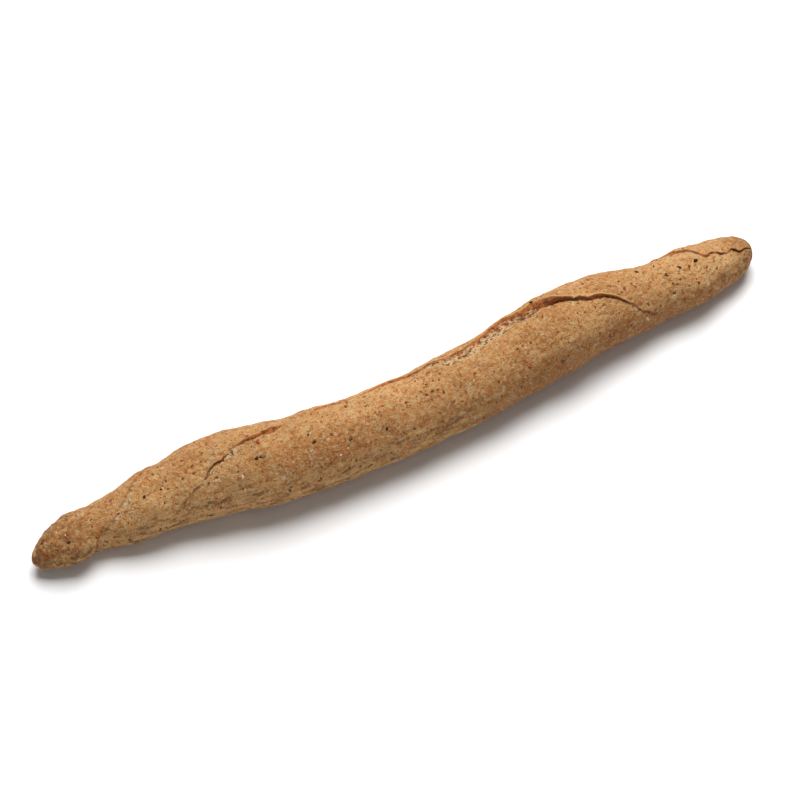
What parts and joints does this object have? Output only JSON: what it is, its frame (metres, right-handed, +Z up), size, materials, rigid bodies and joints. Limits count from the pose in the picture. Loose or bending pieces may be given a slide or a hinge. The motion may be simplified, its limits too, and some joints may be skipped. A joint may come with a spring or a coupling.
{
  "type": "breadstick",
  "caption": "Long hand-rolled wholemeal breadstick with a folded seam along its top, rounded tapering tips and a flat baked underside.",
  "frame": {"origin": "on the tray plane, under the middle of the breadstick's box", "axes": "+X along the stick towards its blunter tip, +Y to the back, the side its middle bends away from, +Z up"},
  "size_m": [0.25, 0.0312, 0.0237],
  "materials": {
    "crust": "matte browned wholemeal crust, flecked with bran"
  },
  "bodies": {
    "root": {"breadstick": "crust"}
  },
  "joints": []
}
